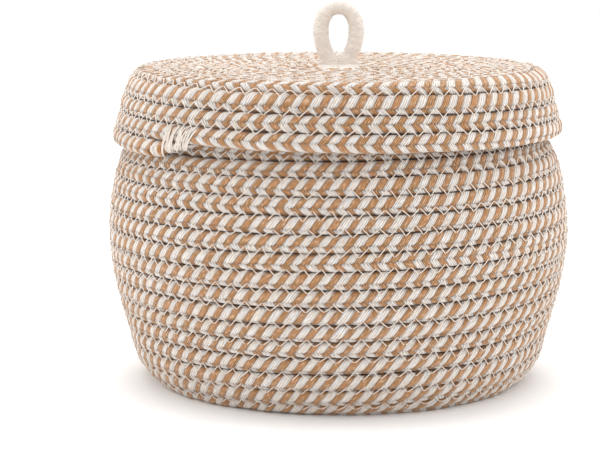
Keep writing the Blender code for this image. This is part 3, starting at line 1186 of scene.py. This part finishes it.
class BASKET_OT_binding(bpy.types.Operator):
    """Binds the end of the lid's cord and sews down the end at the rim"""

    bl_idname = "basket.binding"
    bl_label = "Binding"

    def execute(self, context):
        coil = lid_coil()
        thread = shared("sewing_thread", thread_material)
        end = coil.axes(np.array((coil.last_reach,)))[0][0]
        lengths, thicknesses = np.array(tail_stations).T
        past = np.linspace(lengths[0], lengths[-1], tail_points)
        sizes = np.interp(past, lengths, thicknesses)
        radius = np.linalg.norm(end[:2])
        turned = math.atan2(end[1], end[0]) + past / radius
        reach = radius + tail_stand_out
        height = end[2] + tail_rise - sizes
        route = np.column_stack((reach * np.cos(turned), reach * np.sin(turned), height))

        def tapered(middle):
            """The tail's radius at each point of its route."""
            around = np.arctan2(middle[:, 1], middle[:, 0]) % tau
            size = np.interp(around, turned % tau, sizes)
            return size, size

        def tan_end(length):
            """The tail's white yarn, but for the tan end of the cord that looks out of it."""
            return (length + past[0] > tail_tan[0]) & (length + past[0] < tail_tan[1])

        def tail_depth(length):
            """How far the tail hangs below the cord that it is sewn to."""
            return 2 * np.interp(length - start, past, sizes)

        tail = make_wound_cord(
            "cord_tail", route, tapered, strand_wrap, upright, seeds["tail"], braid_materials(),
            tan_end,
        )
        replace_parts(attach(tail, "lid"), "lid_cord_tip")
        start = coil.length_at(coil.last_reach - turn_pitch)
        stretch = [start + length for length in lid_end_stretch]
        sewn = make_stitching(
            "end_stitches", coil, stretch, lid_end_strokes, lid_end_slant, seeds["lid_end"],
            tail_depth, thread,
        )
        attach(sewn, "lid")
        basket = basket_coil()
        stretch = [basket.lengths[-1] - length for length in rim_end_stretch]
        sewn = make_stitching(
            "rim_end_stitches", basket, stretch, rim_end_strokes, rim_end_slant,
            seeds["rim_end"], np.zeros_like, thread,
        )
        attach(sewn, "basket")
        return {"FINISHED"}


class BASKET_OT_stage(bpy.types.Operator):
    """Lays the floor and sets the lamps and the camera"""

    bl_idname = "basket.stage"
    bl_label = "Stage"

    def execute(self, context):
        stage = context.scene.basket_stage
        shape = bmesh.new()
        bmesh.ops.create_grid(shape, x_segments=1, y_segments=1, size=floor_reach)
        mesh = bpy.data.meshes.new("floor")
        shape.to_mesh(mesh)
        shape.free()
        mesh.materials.append(shared("white_paper", floor_material))
        link("floor", mesh)

        world = bpy.data.worlds.new("white_studio")
        context.scene.world = world
        world.use_nodes = True
        tree = world.node_tree
        seen = 0.0
        for ray in ("Is Camera Ray", "Is Glossy Ray", "Is Transmission Ray"):
            rays = add_node(tree, "ShaderNodeLightPath", ray, {})
            seen = add_node(tree, "ShaderNodeMath", 0, {0: seen, 1: rays}, operation="MAXIMUM")
        strength = add_node(
            tree, "ShaderNodeMapRange", "Result",
            {"Value": seen, "To Min": stage.sky, "To Max": 1.0},
        )
        shade = tree.nodes["Background"]
        tree.links.new(strength, shade.inputs["Strength"])
        shade.inputs["Color"].default_value = (1.0, 1.0, 1.0, 1.0)

        target = Vector((0.0, 0.0, lamp_target))
        for name, place, size, power in (
            ("top_lamp", (0.0, 0.30, 1.30), 1.2, stage.key),
            ("left_lamp", (-1.05, 0.15, 0.40), 0.8, stage.fill),
            ("right_lamp", (1.05, 0.15, 0.40), 0.8, stage.fill),
            ("front_lamp", (0.0, -1.30, 0.35), 0.8, stage.front),
        ):
            lamp = bpy.data.lights.new(name, "AREA")
            lamp.shape = "DISK"
            lamp.size = size
            lamp.energy = power
            item = link(name, lamp)
            item.location = place
            item.rotation_euler = (target - Vector(place)).to_track_quat("-Z", "Y").to_euler()

        camera = bpy.data.cameras.new("photo_camera")
        camera.sensor_width = sensor_width
        camera.lens = sensor_width * view_distance / image_width
        item = link("photo_camera", camera)
        back = Vector((0.0, -math.cos(stage.elevation), math.sin(stage.elevation)))
        item.location = Vector((0.0, 0.0, view_middle)) + back * stage.distance
        shift = Vector((view_shift[0], 0.0, view_shift[1])) / view_distance
        item.rotation_euler = (shift - back).to_track_quat("-Z", "Y").to_euler()
        context.scene.camera = item
        context.scene.view_settings.view_transform = "Standard"
        return {"FINISHED"}


class BASKET_PT_sidebar(bpy.types.Panel):
    """The basket's settings and its builders."""

    bl_idname = "BASKET_PT_sidebar"
    bl_label = "Coiled Cord Basket"
    bl_space_type = "VIEW_3D"
    bl_region_type = "UI"
    bl_category = "Basket"

    def draw(self, context):
        for name, group in settings.items():
            box = self.layout.box()
            for field in group.__annotations__:
                box.prop(getattr(context.scene, name), field)
        for builder in builders:
            self.layout.operator(builder.bl_idname)


settings = {
    "basket_cord": CordSettings,
    "basket_seam": SeamSettings,
    "basket_loop": LoopSettings,
    "basket_stage": StageSettings,
}
builders = (
    BASKET_OT_stage, BASKET_OT_base, BASKET_OT_wall, BASKET_OT_lid, BASKET_OT_binding, BASKET_OT_loop,
)


def register():
    """Registers the settings, the builders and the panel."""
    for name, group in settings.items():
        bpy.utils.register_class(group)
        setattr(bpy.types.Scene, name, PointerProperty(type=group))
    for kind in (*builders, BASKET_PT_sidebar):
        bpy.utils.register_class(kind)


def unregister():
    """Takes away what register added."""
    for kind in (BASKET_PT_sidebar, *reversed(builders)):
        bpy.utils.unregister_class(kind)
    for name, group in reversed(settings.items()):
        delattr(bpy.types.Scene, name)
        bpy.utils.unregister_class(group)


def main():
    """Builds the stage and every piece."""
    register()
    bpy.ops.basket.stage()
    bpy.ops.basket.base()
    bpy.ops.basket.wall()
    bpy.ops.basket.lid()
    bpy.ops.basket.binding()
    bpy.ops.basket.loop()


if __name__ == "__main__":
    main()
